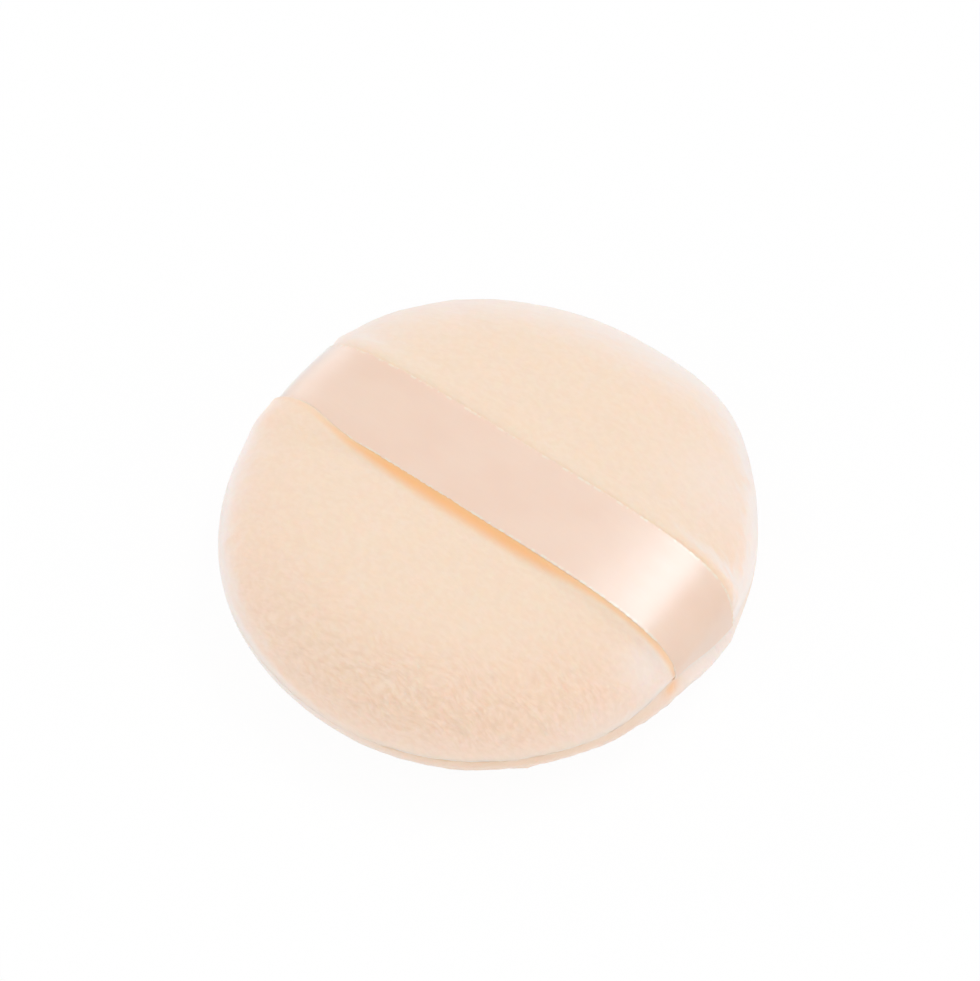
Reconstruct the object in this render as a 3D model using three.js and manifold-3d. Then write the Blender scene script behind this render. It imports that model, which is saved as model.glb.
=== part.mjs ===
// A round powder puff: two velour covers sewn edge to edge round a sponge disc, with a satin
// ribbon across the grip side whose tails are caught in the edge seam.
// Millimetres, +Z up. The origin is the middle of the face that lies on the table, and the
// ribbon runs along X.

import * as THREE from "three";
import { mergeVertices } from "three/addons/utils/BufferGeometryUtils.js";
import Module from "manifold-3d";

const wasm = await Module();
wasm.setup();

// Pad
const padDiameter = 80; // across the seam, outside the pile
const seamHeight = 9.6; // seam plane above the table
const crownHeight = 13.5; // top of the pile above the seam plane
const restDiameter = 44; // flat patch that lies on the table
const crownPower = 3; // how square the upper cover's shoulder is, 2 being an ellipse
const bellyPower = 2.4; // the same for the lower cover

// Velour covers
const velourThickness = 2; // backing and pile
const seamPly = 1.1; // one cover where the seam squeezes it
const seamFold = 1; // radius of the fold where a cover turns in
const seamAllowance = 6; // width of the turned-in edge inside the cover's wall

// Ribbon
const ribbonWidth = 15;
const ribbonThickness = 0.4;
const ribbonSlack = 1; // gap under the middle of the ribbon
const edgePull = 1; // how far each tail draws the edge in
const edgePullSpread = THREE.MathUtils.degToRad(29); // how far round the edge the pull is felt
const ribbonBite = 1.3; // how much deeper the edge is pressed flat under the ribbon itself
const biteFade = 4; // distance beside the ribbon over which the edge swells out again

// Stitching
const threadDiameter = 0.4;
const stitchLength = 5; // machine seam
const seamInset = 1.5; // machine seam to the inside of the cover's wall
const tackInset = 4.3; // holding stitches to the inside of the cover's wall
const tackPitch = 4;
const tackMargin = 1.5; // last holding stitch to the ribbon's edge
const closingLength = 30; // gap through which the puff was turned and filled
const closingStitch = 5;
const closingBearing = THREE.MathUtils.degToRad(-48); // middle of that gap, from +X
const threadTail = 1.2; // thread left past the last hole of a row

// Fit
const clearance = 0.3; // between pieces that touch

// Fineness of the faceted surfaces
const segmentsRound = 40;
const outerSteps = 8;
const innerSteps = 5;
const foldSteps = 2;
const ribbonSteps = 14;
const threadSides = 4;
const mitreLimit = 2; // most that a thread's section is stretched at a corner
const weldDistance = 1e-4; // corners this close are one corner

// Sizes that follow
const padRadius = padDiameter / 2;
const restRadius = restDiameter / 2;
const wallRadius = padRadius - velourThickness;
const flangeRadius = wallRadius - seamAllowance;
const seamRadius = wallRadius - seamInset;
const tackRadius = wallRadius - tackInset;
const plyOutside = clearance / 2; // turned-in edge, the face towards the other cover
const plyInside = plyOutside + seamPly; // the face towards the sponge
const threadRadius = threadDiameter / 2;
const threadRise = plyInside + clearance + threadRadius; // thread on the ply, above the seam plane
const channelHalf = threadRise + threadRadius + clearance; // room for the seam in the sponge's edge
const ribbonStandoff = clearance + ribbonThickness / 2; // cover to the middle of the ribbon
const tailParting = ribbonStandoff - plyOutside; // each ply is lifted this much by a ribbon tail
const boundRadius = padRadius - edgePull - ribbonBite; // half the pad along the ribbon
const tailEnd = (flangeRadius * boundRadius) / padRadius;
const halfThreadGap = (threadDiameter + clearance) / 2; // the seam's two threads, side by side
const holeHalf = threadRadius + clearance;

const upper = { flat: 0, height: crownHeight, power: crownPower };
const lower = { flat: restRadius, height: seamHeight, power: bellyPower };

const velour = { color: 0xf6ddc8, roughness: 0.95, metalness: 0 };
const foam = { color: 0xf3ead8, roughness: 0.9, metalness: 0 };
const satin = { color: 0xf3d6c4, roughness: 0.35, metalness: 0 };
const polyester = { color: 0xf0c9a6, roughness: 0.6, metalness: 0 };

// 1 up to full, 0 from none on, with an S-shaped slope between
function fade(value, full, none) {
  return 1 - THREE.MathUtils.smoothstep(value, full, none);
}

// The ribbon's share of its full effect at a distance from its middle line
function underRibbon(distance) {
  return fade(distance, ribbonWidth / 2 + clearance, ribbonWidth / 2 + biteFade);
}

// Radius of the pad's edge at a bearing from the ribbon's line, as a share of the free pad's.
// The pull is a bell curve round each tail, and the bite a straight stretch across the ribbon.
function edgeShare(bearing) {
  const pulled = padRadius - edgePull * Math.exp(-((bearing / edgePullSpread) ** 2));
  const flat = Math.min(boundRadius / Math.cos(bearing), pulled);
  return THREE.MathUtils.lerp(pulled, flat, underRibbon(pulled * Math.sin(bearing))) / padRadius;
}

// Moves a point of the free, round pad to where the ribbon draws it, and parts the plies round
// the ribbon's tails
function settle(point) {
  const share = edgeShare(Math.atan2(Math.abs(point.y), Math.abs(point.x)));
  const above = point.z - seamHeight;
  const beside = underRibbon(Math.abs(point.y));
  const near = fade(Math.abs(above), channelHalf, channelHalf + biteFade);
  const outwards = 1 - fade(Math.abs(point.x), flangeRadius - 2 * biteFade, flangeRadius - biteFade);
  point.x *= share;
  point.y *= share;
  point.z += Math.sign(above) * tailParting * beside * near * outwards;
  return point;
}

function settled(geometry) {
  const position = geometry.getAttribute("position");
  const point = new THREE.Vector3();
  for (let i = 0; i < position.count; i++) {
    settle(point.fromBufferAttribute(position, i));
    position.setXYZ(i, point.x, point.y, point.z);
  }
  return geometry;
}

// Solids for cuts
function toSolid(geometry) {
  const bare = geometry.clone();
  bare.deleteAttribute("normal");
  bare.deleteAttribute("uv");
  const welded = mergeVertices(bare, weldDistance);
  const corners = welded.getIndex().array;
  const triangles = [];
  for (let i = 0; i < corners.length; i += 3) {
    const [a, b, c] = [corners[i], corners[i + 1], corners[i + 2]];
    if (a !== b && b !== c && c !== a) triangles.push(a, b, c);
  }
  const mesh = new wasm.Mesh({
    numProp: 3,
    vertProperties: Float32Array.from(welded.getAttribute("position").array),
    triVerts: Uint32Array.from(triangles),
  });
  return new wasm.Manifold(mesh);
}

function toGeometry(solid) {
  const mesh = solid.getMesh();
  const geometry = new THREE.BufferGeometry();
  geometry.setAttribute("position", new THREE.BufferAttribute(mesh.vertProperties, 3));
  geometry.setIndex(new THREE.BufferAttribute(mesh.triVerts, 1));
  return geometry;
}

function cut(solid, cutters) {
  return cutters.reduce((left, cutter) => left.subtract(cutter), solid);
}

// Section of a soft half: a superellipse quarter round a level patch. Angle 0 is the seam and a
// right angle is the crown. The inset is measured in from the pile's surface.
function quarter(half, inset, angle) {
  const power = 2 / half.power;
  const radius = half.flat + (padRadius - inset - half.flat) * Math.cos(angle) ** power;
  const height = (half.height - inset) * Math.sin(angle) ** power;
  return new THREE.Vector2(Math.max(radius, 0), height);
}

function angleAtHeight(half, inset, height) {
  return Math.asin((height / (half.height - inset)) ** (half.power / 2));
}

function quarterFrom(half, inset, height, steps) {
  const start = angleAtHeight(half, inset, height);
  const points = [];
  for (let i = 0; i <= steps; i++) {
    points.push(quarter(half, inset, THREE.MathUtils.lerp(start, Math.PI / 2, i / steps)));
  }
  const crown = points.pop();
  const patch = half.flat > 0 ? [crown] : [];
  return [...points, ...patch, new THREE.Vector2(0, crown.y)];
}

// A quarter circle from straight in to straight up
function foldArc(centreX, centreY, radius) {
  const points = [];
  for (let i = 0; i <= foldSteps; i++) {
    const angle = THREE.MathUtils.lerp(-Math.PI / 2, 0, i / foldSteps);
    points.push(new THREE.Vector2(centreX + radius * Math.cos(angle), centreY + radius * Math.sin(angle)));
  }
  return points;
}

// Turns a section, given as radius and height above the seam plane, round the pad's axis
function revolve(section) {
  const geometry = new THREE.LatheGeometry(section, segmentsRound);
  geometry.rotateX(Math.PI / 2);
  geometry.translate(0, 0, seamHeight);
  return geometry;
}

// Rows of stitches. Each hole has its place in the seam plane, the way the row runs, the way
// across it, and half its width across.
function seamHole(bearing) {
  const across = new THREE.Vector3(Math.cos(bearing), Math.sin(bearing), 0);
  const along = new THREE.Vector3(-across.y, across.x, 0);
  const at = across.clone().multiplyScalar(seamRadius);
  return { at, along, across, halfAcross: holeHalf };
}

function arcOfHoles(from, to, pitch) {
  const length = (to - from) * seamRadius;
  const count = Math.max(2, Math.floor(length / pitch) + 1);
  const holes = [];
  for (let i = 0; i < count; i++) {
    holes.push(seamHole(THREE.MathUtils.lerp(from, to, i / (count - 1))));
  }
  return holes;
}

function tackHoles(side) {
  const run = ribbonWidth - 2 * tackMargin;
  const count = Math.max(2, Math.round(run / tackPitch) + 1);
  const across = new THREE.Vector3(side, 0, 0);
  const along = new THREE.Vector3(0, side, 0);
  const holes = [];
  for (let i = 0; i < count; i++) {
    const at = across.clone().multiplyScalar(tackRadius);
    at.addScaledVector(along, -run / 2 + (run * i) / (count - 1));
    holes.push({ at, along, across, halfAcross: holeHalf });
  }
  return holes;
}

// The machine seam runs round from one end of the turning gap to the other, and the closing
// stitches fill the gap, each row half a stitch clear of its ends
const closingHalf = closingLength / 2;
const closingTurn = (closingHalf - closingStitch / 2) / seamRadius;
const machineTurn = (closingHalf + stitchLength / 2) / seamRadius;
const closingRow = arcOfHoles(closingBearing - closingTurn, closingBearing + closingTurn, closingStitch);
const machineRow = arcOfHoles(
  closingBearing + machineTurn,
  closingBearing + 2 * Math.PI - machineTurn,
  stitchLength,
).map((hole) => ({ ...hole, halfAcross: holeHalf + halfThreadGap }));
const tackRows = { right: tackHoles(1), left: tackHoles(-1) };

function holeGeometry(hole) {
  const geometry = new THREE.BoxGeometry(2 * hole.halfAcross, 2 * holeHalf, 2 * threadRise);
  const turn = Math.atan2(hole.across.y, hole.across.x);
  geometry.rotateZ(turn);
  geometry.translate(hole.at.x, hole.at.y, seamHeight);
  return geometry;
}

const holes = [...machineRow, ...closingRow, ...tackRows.right, ...tackRows.left];

// Covers: outside, fold, turned-in edge, inside
function coverSection(half) {
  const outside = quarterFrom(half, 0, plyOutside + seamFold, outerSteps);
  const edge = outside[0];
  const fold = foldArc(edge.x - seamFold, plyOutside + seamFold, seamFold).slice(0, -1);
  const rawEdge = [new THREE.Vector2(flangeRadius, plyInside), new THREE.Vector2(flangeRadius, plyOutside)];
  const inside = quarterFrom(half, velourThickness, plyInside, innerSteps).reverse();
  return [...inside, ...rawEdge, ...fold, ...outside];
}

function mirrored(section) {
  return section.map((point) => new THREE.Vector2(point.x, -point.y)).reverse();
}

function cover(section) {
  const cutters = holes.map((hole) => toSolid(holeGeometry(hole)));
  return settled(toGeometry(cut(toSolid(revolve(section)), cutters)));
}

// Sponge disc with a channel round its edge where the turned-in edges press in
function sponge() {
  const inset = velourThickness + clearance;
  const top = quarterFrom(upper, inset, channelHalf, innerSteps);
  const bottom = mirrored(quarterFrom(lower, inset, channelHalf, innerSteps));
  const channel = flangeRadius - clearance;
  const inwards = [new THREE.Vector2(channel, -channelHalf), new THREE.Vector2(channel, channelHalf)];
  return settled(revolve([...bottom, ...inwards, ...top]));
}

// Ribbon: from inside the seam, round the upper cover's fold, up its shoulder and over the crown
function ribbonHalfPath() {
  const reach = boundRadius + ribbonStandoff;
  const rise = crownHeight + ribbonStandoff;
  const fold = seamFold + ribbonStandoff;
  const power = 2 / crownPower;
  const start = Math.asin((fold / rise) ** (1 / power));
  const over = [];
  for (let i = 1; i <= ribbonSteps; i++) {
    const angle = THREE.MathUtils.lerp(start, Math.PI / 2, i / ribbonSteps);
    const x = i < ribbonSteps ? reach * Math.cos(angle) ** power : 0;
    const slack = (ribbonSlack - clearance) * (1 - (x / reach) ** 2);
    over.push(new THREE.Vector2(x, rise * Math.sin(angle) ** power + slack));
  }
  const turn = foldArc(reach * Math.cos(start) ** power - fold, fold, fold);
  return [new THREE.Vector2(tailEnd, 0), ...turn, ...over];
}

function offsetPath(path, distance) {
  return path.map((point, i) => {
    const before = path[Math.max(i - 1, 0)];
    const after = path[Math.min(i + 1, path.length - 1)];
    const way = after.clone().sub(before).normalize();
    return new THREE.Vector2(point.x - way.y * distance, point.y + way.x * distance);
  });
}

function ribbon() {
  const half = ribbonHalfPath();
  const otherHalf = half.slice(0, -1).map((point) => new THREE.Vector2(-point.x, point.y)).reverse();
  const path = [...half, ...otherHalf];
  const outer = offsetPath(path, -ribbonThickness / 2);
  const inner = offsetPath(path, ribbonThickness / 2).reverse();
  const strip = new THREE.Shape([...outer, ...inner]);
  const geometry = new THREE.ExtrudeGeometry(strip, { depth: ribbonWidth, bevelEnabled: false });
  geometry.translate(0, 0, -ribbonWidth / 2);
  geometry.rotateX(Math.PI / 2);
  geometry.translate(0, 0, seamHeight);
  const tailHoles = holes.filter((hole) => Math.abs(hole.at.y) < ribbonWidth / 2 + holeHalf);
  const cutters = tailHoles.map((hole) => toSolid(settled(holeGeometry(hole))));
  return toGeometry(cut(toSolid(geometry), cutters));
}

// A thread that goes through the plies at each hole, down at one and up at the next
function threadPath(row, side, aside) {
  const path = [];
  let level = side;
  const add = (hole, past) => {
    const point = hole.at.clone().addScaledVector(hole.across, aside).addScaledVector(hole.along, past);
    point.z = seamHeight + level * threadRise;
    path.push({ point: settle(point), across: hole.across });
  };
  add(row[0], -threadTail);
  for (const hole of row) {
    add(hole, 0);
    level = -level;
    add(hole, 0);
  }
  add(row[row.length - 1], threadTail);
  return path;
}

// Sweeps a many-sided section along the path, mitred at its corners and closed at both ends
function thread(row, side, aside) {
  const path = threadPath(row, side, aside);
  const last = path.length - 1;
  const vertices = [];
  const triangles = [];
  path.forEach(({ point, across }, i) => {
    const before = path[Math.max(i - 1, 0)].point;
    const after = path[Math.min(i + 1, last)].point;
    const arriving = point.clone().sub(before).normalize();
    const leaving = after.clone().sub(point).normalize();
    const way = arriving.clone().add(leaving).normalize();
    const square = new THREE.Vector3().crossVectors(way, across).normalize();
    const mitre = Math.min(1 / way.dot(i < last ? leaving : arriving), mitreLimit);
    for (let j = 0; j < threadSides; j++) {
      const angle = (2 * Math.PI * j) / threadSides;
      const corner = point.clone().addScaledVector(across, threadRadius * Math.cos(angle));
      corner.addScaledVector(square, threadRadius * mitre * Math.sin(angle));
      vertices.push(corner.x, corner.y, corner.z);
      const [a, b] = [i * threadSides + j, i * threadSides + ((j + 1) % threadSides)];
      if (i < last) triangles.push(a, b, a + threadSides, b, b + threadSides, a + threadSides);
    }
  });
  const end = last * threadSides;
  for (let j = 1; j < threadSides - 1; j++) {
    triangles.push(0, j + 1, j);
    triangles.push(end, end + j, end + j + 1);
  }
  const geometry = new THREE.BufferGeometry();
  geometry.setAttribute("position", new THREE.Float32BufferAttribute(vertices, 3));
  geometry.setIndex(triangles);
  return geometry;
}

const puff = new THREE.Group();

function addPiece(name, geometry, finish) {
  const piece = new THREE.Mesh(geometry, new THREE.MeshStandardMaterial(finish));
  piece.name = name;
  puff.add(piece);
}

addPiece("upper_cover", cover(coverSection(upper)), velour);
addPiece("lower_cover", cover(mirrored(coverSection(lower))), velour);
addPiece("foam_core", sponge(), foam);
addPiece("ribbon_band", ribbon(), satin);
addPiece("needle_thread", thread(machineRow, 1, halfThreadGap), polyester);
addPiece("bobbin_thread", thread(machineRow, -1, -halfThreadGap), polyester);
addPiece("right_ribbon_tack", thread(tackRows.right, 1, 0), polyester);
addPiece("left_ribbon_tack", thread(tackRows.left, 1, 0), polyester);
addPiece("closing_thread", thread(closingRow, 1, 0), polyester);

export default puff;
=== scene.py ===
"""Looks of a round powder puff: two brushed velour covers sewn edge to edge round a sponge disc, and a
satin ribbon across the grip side whose tails are caught in the edge seam. Metres, +Z up, ribbon along X."""

import itertools
import math

import bpy
import numpy as np
from bpy.props import FloatProperty, FloatVectorProperty, PointerProperty
from bpy.types import Operator, Panel, PropertyGroup
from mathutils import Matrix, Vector


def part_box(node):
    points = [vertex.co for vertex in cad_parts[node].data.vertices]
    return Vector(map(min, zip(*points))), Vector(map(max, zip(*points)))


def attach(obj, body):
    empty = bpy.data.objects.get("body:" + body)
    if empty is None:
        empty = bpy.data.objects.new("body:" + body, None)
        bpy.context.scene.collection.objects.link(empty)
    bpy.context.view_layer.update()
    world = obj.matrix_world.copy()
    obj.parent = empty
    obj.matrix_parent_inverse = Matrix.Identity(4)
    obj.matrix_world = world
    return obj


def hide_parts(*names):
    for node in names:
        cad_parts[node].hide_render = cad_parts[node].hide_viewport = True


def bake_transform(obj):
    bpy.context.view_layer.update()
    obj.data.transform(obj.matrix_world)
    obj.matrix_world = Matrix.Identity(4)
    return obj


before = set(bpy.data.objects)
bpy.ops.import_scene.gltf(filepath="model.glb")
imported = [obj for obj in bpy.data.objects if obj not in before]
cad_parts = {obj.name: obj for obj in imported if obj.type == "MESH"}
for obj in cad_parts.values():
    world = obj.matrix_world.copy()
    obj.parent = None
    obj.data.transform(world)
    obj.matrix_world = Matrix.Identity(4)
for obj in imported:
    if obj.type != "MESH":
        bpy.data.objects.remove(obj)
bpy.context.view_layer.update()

bl_info = {
    "name": "Powder Puff",
    "version": (1, 0, 0),
    "blender": (4, 5, 0),
    "location": "View3D > Sidebar > Puff",
    "description": "Builds a velour powder puff with a satin ribbon round its solids",
    "category": "Add Mesh",
}

MM = 0.001

UPPER_LOW, UPPER_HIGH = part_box("upper_cover")
LOWER_LOW, LOWER_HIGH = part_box("lower_cover")
RIBBON_LOW, RIBBON_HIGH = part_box("ribbon_band")
SEAM_HEIGHT = (UPPER_LOW.z + LOWER_HIGH.z) / 2
PLY_GAP = UPPER_LOW.z - LOWER_HIGH.z


# Properties

def linear(hex_colour):
    """An sRGB colour written as #rrggbb, as linear red, green and blue."""
    shares = [int(hex_colour[i:i + 2], 16) / 255 for i in (1, 3, 5)]
    return tuple(s / 12.92 if s <= 0.04045 else ((s + 0.055) / 1.055) ** 2.4 for s in shares)


def length(name, description, default):
    """A size in metres that a user can change."""
    return FloatProperty(
        name=name, description=description, default=default, min=0, unit="LENGTH", precision=5
    )


def number(name, description, default, least=0.0):
    """A plain number that a user can change."""
    return FloatProperty(name=name, description=description, default=default, min=least)


def turn(name, description, degrees):
    """An angle that a user can change."""
    return FloatProperty(name=name, description=description, default=math.radians(degrees), subtype="ANGLE")


def colour(name, description, hex_colour):
    """A colour that a user can change."""
    return FloatVectorProperty(
        name=name, description=description, default=linear(hex_colour), min=0, max=1, size=3, subtype="COLOR"
    )


class PuffSizes(PropertyGroup):
    """Sizes of the puff's pieces."""

    pad_radius: length("Pad radius", "Half the pad across the seam", (UPPER_HIGH.y - UPPER_LOW.y) / 2)
    seam_height: length("Seam height", "Seam plane above the table", SEAM_HEIGHT)
    crown_height: length("Crown height", "Top of the pile above the seam", UPPER_HIGH.z - SEAM_HEIGHT)
    belly_depth: length("Belly depth", "Lower cover's depth below the seam", SEAM_HEIGHT - LOWER_LOW.z)
    rest_radius: length("Rest radius", "Flat patch that lies on the table", 22 * MM)
    crown_power: number("Crown squareness", "Squareness of the upper cover's shoulder", 3.0, 2)
    drawn_power: number("Drawn squareness", "The same where the ribbon draws the edge in", 4.0, 2)
    belly_power: number("Belly squareness", "Squareness of the lower cover's side", 2.9, 2)
    drawn_spread: turn("Drawn spread", "How far round from the ribbon the shoulder stays square", 24)
    velour_thickness: length("Velour thickness", "Backing and pile", 2 * MM)
    seam_ply: length("Seam ply", "One cover where the seam squeezes it", 1.1 * MM)
    seam_fold: length("Seam fold", "Radius of the fold where the upper cover turns in", 0.06 * MM)
    lower_fold: length("Lower fold", "Radius of the fold where the lower cover turns in", 0.05 * MM)
    seam_allowance: length("Seam allowance", "Width of a cover's turned-in edge", 6 * MM)
    swell: length("Swell", "How far the filling swells the covers", 0.6 * MM)
    swell_over: length("Overswell", "How much further the covers may swell where they are free", 0.2 * MM)
    ribbon_width: length("Ribbon width", "Across it with its selvedges", RIBBON_HIGH.y - RIBBON_LOW.y)
    ribbon_thickness: length("Ribbon thickness", "Thickness of the woven satin", 0.28 * MM)
    ribbon_rise: length("Ribbon rise", "Ribbon's edges above the seam at the crown", 14.25 * MM)
    ribbon_arch: length("Ribbon arch", "Ribbon's middle line above its edges", 0.3 * MM)
    ribbon_power: number("Ribbon squareness", "Squareness of its path over the shoulders", 4.0, 2)
    right_reach: length("Right reach", "Ribbon's right end from the middle", 38.6 * MM)
    left_reach: length("Left reach", "Ribbon's left end from the middle", 37.2 * MM)
    ribbon_standoff: length("Ribbon standoff", "Cover to the ribbon's middle where they touch", 0.3 * MM)
    bite_fade: length("Bite fade", "From the ribbon to where the edge is full again", 4 * MM)
    selvedge_radius: length("Selvedge radius", "Half the thickness of the ribbon's woven edge", 0.18 * MM)
    selvedge_pitch: length("Selvedge pitch", "Spacing of the loops along the woven edge", 1.2 * MM)
    thread_radius: length("Thread radius", "Half the sewing thread's thickness", 0.2 * MM)
    thread_twist: length("Thread twist", "Length of one turn of the two plies", 1.3 * MM)
    stitch_length: length("Stitch length", "Machine seam's stitch", 5 * MM)
    seam_inset: length("Seam inset", "Machine seam to the inside of the cover's wall", 1.5 * MM)
    tack_inset: length("Tack inset", "Holding stitches to the inside of the cover's wall", 4.3 * MM)
    tack_pitch: length("Tack pitch", "Holding stitch", 4 * MM)
    tack_margin: length("Tack margin", "Last holding stitch to the ribbon's edge", 1.5 * MM)
    closing_length: length("Closing length", "Gap that was sewn up by hand after filling", 30 * MM)
    closing_bearing: turn("Closing bearing", "Middle of that gap, from the ribbon's right end", -48)
    clearance: length("Clearance", "Between pieces that touch", PLY_GAP)
    right_bulge: length("Right bulge", "Lower cover's bulge under the ribbon's right end", 1.6 * MM)
    pile_lip: length("Pile lip", "How far the pile laps over the ribbon's left end", 0.15 * MM)
    seam_meet: length("Seam meet", "Between the two covers' pile at the seam", 0.01 * MM)
    tail_tuck: length("Tail tuck", "Gathering of the ribbon's near edge at its left end", 2.2 * MM)
    near_draw: length("Near draw", "How far the ribbon's near edge is drawn in all along", 0.3 * MM)
    seam_lift: length("Seam lift", "How far the ribbon's right end draws the seam up", 4 * MM)
    nap_length: length("Nap length", "Length of a lock of pile", 1.8 * MM)
    nap_width: length("Nap width", "Width of a lock of pile", 1.15 * MM)
    nap_height: length("Nap height", "Relief of the locks of pile", 0.22 * MM)
    clump_size: length("Clump size", "Spacing of the soft dents in the pile", 1.7 * MM)
    clump_height: length("Clump height", "Depth of the soft dents in the pile", 0.12 * MM)


class PuffFinish(PropertyGroup):
    """Colours of the puff's materials."""

    pile_tip: colour("Pile tip", "Velour where the fibre ends show", "#f6dfca")
    # A warmer tint painted on the steep walls: partly painted warm shade, partly roots showing where the
    # pile opens
    pile_wall_tint: colour("Pile root", "Velour where the pile opens", "#fddcc8")
    # Colour of painted shade between the locks and on the lower cover, and of darker random blotches
    pile_shade: colour("Pile shade", "Velour between the locks of pile", "#e4bd99")
    # Painted shade, warm as with light scattered in the pile, in the seam pocket and along the ribbon's
    # edges
    pile_crease_shade: colour("Pile crease", "Velour deep in the seam and under the ribbon", "#ffc18b")
    satin: colour("Satin", "Ribbon's face", "#fdcfb8")
    selvedge: colour("Selvedge", "Ribbon's woven edge", "#f9e2cc")
    # Painted sheen: mixed into pile and satin at an edge-on view, standing in for light that catches the rim
    painted_sheen: colour("Glancing", "Pile and satin at a glancing view", "#f5eae5")
    foam: colour("Foam", "Sponge", "#f3ead8")
    thread: colour("Thread", "Sewing thread", "#f0c9a6")
    floor: colour("Floor", "Table top", "#fafafa")


class PuffStage(PropertyGroup):
    """Camera and lamps."""

    azimuth: turn("Azimuth", "Camera round from looking along +Y", 37.03)
    elevation: turn("Elevation", "Camera above the horizon", 54.9)
    distance: length("Distance", "Camera to the middle of the seam plane", 0.65)
    lens: number("Lens", "Focal length in millimetres", 160.95, 1)
    aim_up: length("Aim up", "Picture's middle above the seam's middle", 5.85 * MM)
    surround: number("Surround", "Strength of the light from all round", 0.64)
    key_power: number("Key lamp", "Power of the lamp behind the puff", 2.75)
    fill_power: number("Fill lamp", "Power of the lamp in front of it", 3.2)
    side_power: number("Side lamps", "Power of each low lamp at the sides", 1.6)
    shine_power: number("Shine cards", "Power of the cards that only the satin's shine shows", 6.2)
    card: colour("Cards", "Cool daylight on the cards", "#d8efff")


# Meshes

def fade(value, full, none):
    """1 up to full, 0 from none on, with an S-shaped slope between."""
    share = np.clip((none - value) / (none - full), 0, 1)
    return share * share * (3 - 2 * share)


def bell(value, spread):
    """A bell curve, 1 at nought."""
    return np.exp(-(value / spread) ** 2)


def apart(bearing, other):
    """How far one bearing is from another, the short way round."""
    return np.abs((bearing - other + np.pi) % (2 * np.pi) - np.pi)


def unit(vectors):
    """Vectors brought to a length of one."""
    return vectors / np.maximum(np.linalg.norm(vectors, axis=-1, keepdims=True), 1e-12)


def resampled(line, run, even):
    """A line's points at even lengths along it, from those at its own lengths."""
    return np.stack([np.interp(even, run, axis) for axis in line.T], axis=1)


def lattice_random(cell, seed):
    """Random numbers from -1 to 1 for the cells of a lattice: each cell's place is mixed by multiplying
    and folding its bits."""
    place = cell.astype(np.int64).astype(np.uint32)
    mixed = place[..., 0] * np.uint32(73856093)
    mixed = mixed ^ (place[..., 1] * np.uint32(19349663))
    mixed = mixed ^ (place[..., 2] * np.uint32(83492791))
    mixed = mixed + np.uint32(seed * 2654435761 % 2 ** 32)
    mixed = (mixed ^ (mixed >> np.uint32(15))) * np.uint32(2246822519)
    mixed = (mixed ^ (mixed >> np.uint32(13))) * np.uint32(3266489917)
    mixed = mixed ^ (mixed >> np.uint32(16))
    return mixed.astype(float) / 2147483647.5 - 1


def soft_noise(points, seed):
    """Noise from -1 to 1: random numbers at the corners of a unit lattice, eased along each axis."""
    low = np.floor(points)
    part = points - low
    part = part * part * (3 - 2 * part)
    total = np.zeros(points.shape[:-1])
    for corner in itertools.product((0, 1), repeat=3):
        share = np.prod(np.where(corner, part, 1 - part), axis=-1)
        total += share * lattice_random(low + corner, seed)
    return total


def add_mesh(name, points, quads, triangles=None):
    """A smooth mesh object from arrays of points and of the corners of its faces."""
    if triangles is None:
        triangles = np.zeros((0, 3), int)
    corners = np.concatenate([quads.ravel(), triangles.ravel()])
    counts = np.concatenate([np.full(len(quads), 4), np.full(len(triangles), 3)])
    mesh = bpy.data.meshes.new(name)
    mesh.vertices.add(len(points))
    mesh.vertices.foreach_set("co", np.asarray(points, np.float32).ravel())
    mesh.loops.add(len(corners))
    mesh.loops.foreach_set("vertex_index", corners.astype(np.int32))
    mesh.polygons.add(len(counts))
    mesh.polygons.foreach_set("loop_start", (np.cumsum(counts) - counts).astype(np.int32))
    mesh.polygons.foreach_set("use_smooth", np.ones(len(counts), bool))
    mesh.update(calc_edges=True)
    if mesh.validate():
        raise RuntimeError(f"{name} has faces that do not fit its points")
    piece = bpy.data.objects.new(name, mesh)
    bpy.context.scene.collection.objects.link(piece)
    return piece


def read_vectors(collection, key):
    """An array of three numbers for each item of a mesh."""
    values = np.zeros(len(collection) * 3, np.float32)
    collection.foreach_get(key, values)
    return values.reshape(-1, 3).astype(float)


def add_attribute(piece, name, values):
    """One number or three for each point of a mesh, for its material to read."""
    kind, key = ("FLOAT", "value") if values.ndim == 1 else ("FLOAT_VECTOR", "vector")
    made = piece.data.attributes.new(name, kind, "POINT")
    made.data.foreach_set(key, values.astype(np.float32).ravel())


def carried_mesh(name, points, ends):
    """A closed mesh of a section carried along a path: points by step and place round the section, and the
    middle points of the first and the last section."""
    steps, sides = points.shape[:2]
    place = np.arange(steps * sides).reshape(steps, sides)
    corners = [place[:-1], np.roll(place[:-1], -1, axis=1), np.roll(place[1:], -1, axis=1), place[1:]]
    quads = np.stack([c.ravel() for c in corners], axis=1)
    caps = []
    for middle, ring in ((place.size, place[0, ::-1]), (place.size + 1, place[-1])):
        caps.append(np.stack([ring, np.roll(ring, -1), np.full(sides, middle)], axis=1))
    return add_mesh(name, np.concatenate([points.reshape(-1, 3), ends]), quads, np.concatenate(caps))


WEAVE_MAP = "Weave"


def add_map(piece, places):
    """A UV map from one place for each point of a mesh."""
    mesh = piece.data
    corners = np.zeros(len(mesh.loops), np.int32)
    mesh.loops.foreach_get("vertex_index", corners)
    made = mesh.uv_layers.new(name=WEAVE_MAP)
    made.uv.foreach_set("vector", np.asarray(places, np.float32)[corners].ravel())


def ring_quads(first, second):
    """Faces between two closed rings of as many points, facing out where the first is the upper one."""
    return np.stack([first, second, np.roll(second, -1), np.roll(first, -1)], axis=1)


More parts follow.
